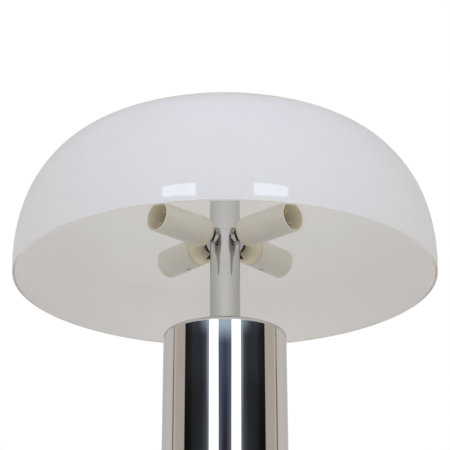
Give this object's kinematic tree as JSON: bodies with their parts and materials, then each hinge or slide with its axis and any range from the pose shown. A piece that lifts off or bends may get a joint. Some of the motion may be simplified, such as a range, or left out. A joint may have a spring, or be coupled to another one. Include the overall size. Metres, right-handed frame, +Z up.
{
  "type": "table lamp",
  "caption": "Mushroom table lamp: opal acrylic dome on a slim stem above a polished chrome column, with screw lampholders set in a level cross under the shade.",
  "frame": {"origin": "centre of the felted foot on the table top", "axes": "+Z up along the stem and column, +Y to the back, where the cord inlet is"},
  "size_m": [0.3994, 0.3994, 0.6325],
  "materials": {
    "opal_acrylic": "white opal acrylic, polished outside and inside",
    "polished_chrome": "polished chrome plating on steel",
    "cream_plastic": "smooth cream moulded plastic, slightly satin",
    "core_plastic": "moulded lampholder core, dull tan",
    "contact_brass": "stamped brass",
    "lead_sheath": "heat resistant lead sheath",
    "terminal_plastic": "white moulded terminal block",
    "black_rubber": "matte black rubber",
    "clear_washer": "translucent soft plastic",
    "dark_felt": "pressed felt",
    "cast_ballast": "rough casting",
    "zinc_steel": "bright zinc plated steel"
  },
  "bodies": {
    "lamp": {"arm_hub": "zinc_steel", "arm_nipples": "polished_chrome", "arm_nuts": "polished_chrome", "arm_saddles": "polished_chrome", "arm_washers": "black_rubber", "ballast_weight": "cast_ballast", "base_plate": "zinc_steel", "base_screws": "zinc_steel", "carrier_nut": "zinc_steel", "centre_contact_1": "contact_brass", "centre_contact_2": "contact_brass", "centre_contact_3": "contact_brass", "centre_contact_4": "contact_brass", "column_shell": "polished_chrome", "cord_grommet": "black_rubber", "felt_pad": "dark_felt", "holder_cap_1": "cream_plastic", "holder_cap_2": "cream_plastic", "holder_cap_3": "cream_plastic", "holder_cap_4": "cream_plastic", "holder_core_1": "core_plastic", "holder_core_2": "core_plastic", "holder_core_3": "core_plastic", "holder_core_4": "core_plastic", "holder_lead_1": "lead_sheath", "holder_lead_2": "lead_sheath", "holder_lead_3": "lead_sheath", "holder_lead_4": "lead_sheath", "holder_sleeve_1": "cream_plastic", "holder_sleeve_2": "cream_plastic", "holder_sleeve_3": "cream_plastic", "holder_sleeve_4": "cream_plastic", "rubber_ring": "black_rubber", "screw_shell_1": "contact_brass", "screw_shell_2": "contact_brass", "screw_shell_3": "contact_brass", "screw_shell_4": "contact_brass", "shade_carrier": "zinc_steel", "shade_rod": "zinc_steel", "side_contacts": "contact_brass", "stem_collar": "polished_chrome", "stem_nut": "zinc_steel", "stem_tube": "polished_chrome", "terminal_block": "terminal_plastic", "terminal_bracket": "zinc_steel", "terminal_screws": "zinc_steel", "tie_rods": "zinc_steel", "upper_sleeve": "polished_chrome"},
    "shade": {"shade": "opal_acrylic", "shade_washer": "clear_washer"},
    "finial": {"finial": "polished_chrome"}
  },
  "joints": [
    {"name": "shade_lift", "type": "slide", "parent": "lamp", "child": "shade", "axis": [0, 0, 1], "range_m": [0, 0.18]},
    {"name": "finial_turn", "type": "hinge", "parent": "shade", "child": "finial", "pos_m": [0, 0, 0.626], "axis": [0, 0, 1], "continuous": true}
  ]
}
